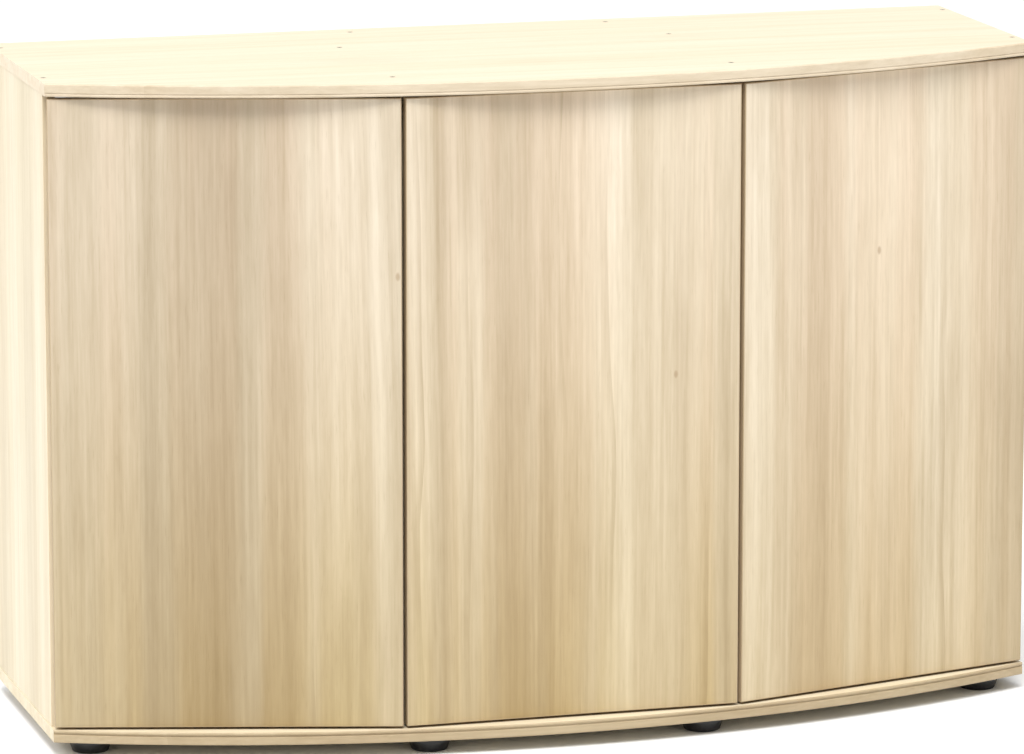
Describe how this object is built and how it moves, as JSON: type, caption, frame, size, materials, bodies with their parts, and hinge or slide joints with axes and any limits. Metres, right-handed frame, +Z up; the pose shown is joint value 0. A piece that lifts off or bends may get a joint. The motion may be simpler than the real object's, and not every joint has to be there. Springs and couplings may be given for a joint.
{
  "type": "aquarium base cabinet",
  "caption": "Bow-front base cabinet for an aquarium, with flat hinged doors, push latches, inner shelves and round feet.",
  "frame": {"origin": "centre of the footprint on the floor, under the feet", "axes": "+X to the right of a person facing the doors, along the width; +Y to the back, along the depth; +Z up"},
  "size_m": [1.21, 0.4599, 0.8],
  "materials": {
    "carcass_board": "light wood decor on chipboard, satin",
    "door_board": "light wood decor with upright grain, satin",
    "edge_band": "light wood decor edging, satin",
    "thin_board": "thin hardboard with light decor face, matt",
    "beech": "fluted beech, raw",
    "foot_plastic": "moulded black plastic",
    "plated_steel": "nickel-plated pressed steel",
    "screw_steel": "zinc-plated",
    "latch_plastic": "moulded grey plastic",
    "plunger_plastic": "moulded dark grey plastic"
  },
  "bodies": {
    "cabinet": {"back_panel_screws": "screw_steel", "base_edge_band": "edge_band", "base_panel": "carcass_board", "base_screws": "screw_steel", "dowels": "beech", "foot_screws": "screw_steel", "hinge_arm_screws": "screw_steel", "latch_screws": "screw_steel", "left_back_panel": "thin_board", "left_front_inner_foot": "foot_plastic", "left_front_outer_foot": "foot_plastic", "left_hinge_arms": "plated_steel", "left_latch_housing": "latch_plastic", "left_partition": "carcass_board", "left_rear_inner_foot": "foot_plastic", "left_rear_outer_foot": "foot_plastic", "left_shelf": "carcass_board", "left_side_panel": "carcass_board", "middle_back_board": "carcass_board", "middle_hinge_arms": "plated_steel", "middle_latch_housing": "latch_plastic", "right_back_panel": "thin_board", "right_front_inner_foot": "foot_plastic", "right_front_outer_foot": "foot_plastic", "right_hinge_arms": "plated_steel", "right_latch_housing": "latch_plastic", "right_partition": "carcass_board", "right_rear_inner_foot": "foot_plastic", "right_rear_outer_foot": "foot_plastic", "right_shelf": "carcass_board", "right_side_panel": "carcass_board", "shelf_edge_bands": "edge_band", "shelf_pins": "screw_steel", "top_edge_band": "edge_band", "top_panel": "carcass_board", "top_screws": "screw_steel", "upright_edge_bands": "edge_band"},
    "left_door_leaf": {"left_door": "door_board", "left_door_edge_bands": "edge_band", "left_hinge_cups": "plated_steel", "left_hinge_pins": "screw_steel", "left_cup_screws": "screw_steel", "left_strike_plate": "plated_steel"},
    "left_plunger": {"left_latch_plunger": "plunger_plastic"},
    "middle_door_leaf": {"middle_door": "door_board", "middle_door_edge_bands": "edge_band", "middle_hinge_cups": "plated_steel", "middle_hinge_pins": "screw_steel", "middle_cup_screws": "screw_steel", "middle_strike_plate": "plated_steel"},
    "middle_plunger": {"middle_latch_plunger": "plunger_plastic"},
    "right_door_leaf": {"right_door": "door_board", "right_door_edge_bands": "edge_band", "right_hinge_cups": "plated_steel", "right_hinge_pins": "screw_steel", "right_cup_screws": "screw_steel", "right_strike_plate": "plated_steel"},
    "right_plunger": {"right_latch_plunger": "plunger_plastic"}
  },
  "joints": [
    {"name": "left_door_swing", "type": "hinge", "parent": "cabinet", "child": "left_door_leaf", "pos_m": [-0.59197, -0.09978, 0.409], "axis": [0, 0, -1], "range_deg": [0, 95]},
    {"name": "middle_door_swing", "type": "hinge", "parent": "cabinet", "child": "middle_door_leaf", "pos_m": [-0.1937, -0.205, 0.409], "axis": [0, 0, -1], "range_deg": [0, 95]},
    {"name": "right_door_swing", "type": "hinge", "parent": "cabinet", "child": "right_door_leaf", "pos_m": [0.59197, -0.09978, 0.409], "axis": [0, 0, 1], "range_deg": [0, 95]},
    {"name": "left_plunger_slide", "type": "slide", "parent": "cabinet", "child": "left_plunger", "axis": [-0.2625, -0.9649, 0], "range_m": [0, 0.038]},
    {"name": "middle_plunger_slide", "type": "slide", "parent": "cabinet", "child": "middle_plunger", "axis": [0, -1, 0], "range_m": [0, 0.038]},
    {"name": "right_plunger_slide", "type": "slide", "parent": "cabinet", "child": "right_plunger", "axis": [0.2625, -0.9649, 0], "range_m": [0, 0.038]}
  ],
  "couplings": [
    {"joint": "left_plunger_slide", "follows": "left_door_swing", "m_per_rad": 0.0229},
    {"joint": "middle_plunger_slide", "follows": "middle_door_swing", "m_per_rad": 0.0229},
    {"joint": "right_plunger_slide", "follows": "right_door_swing", "m_per_rad": 0.0229}
  ]
}
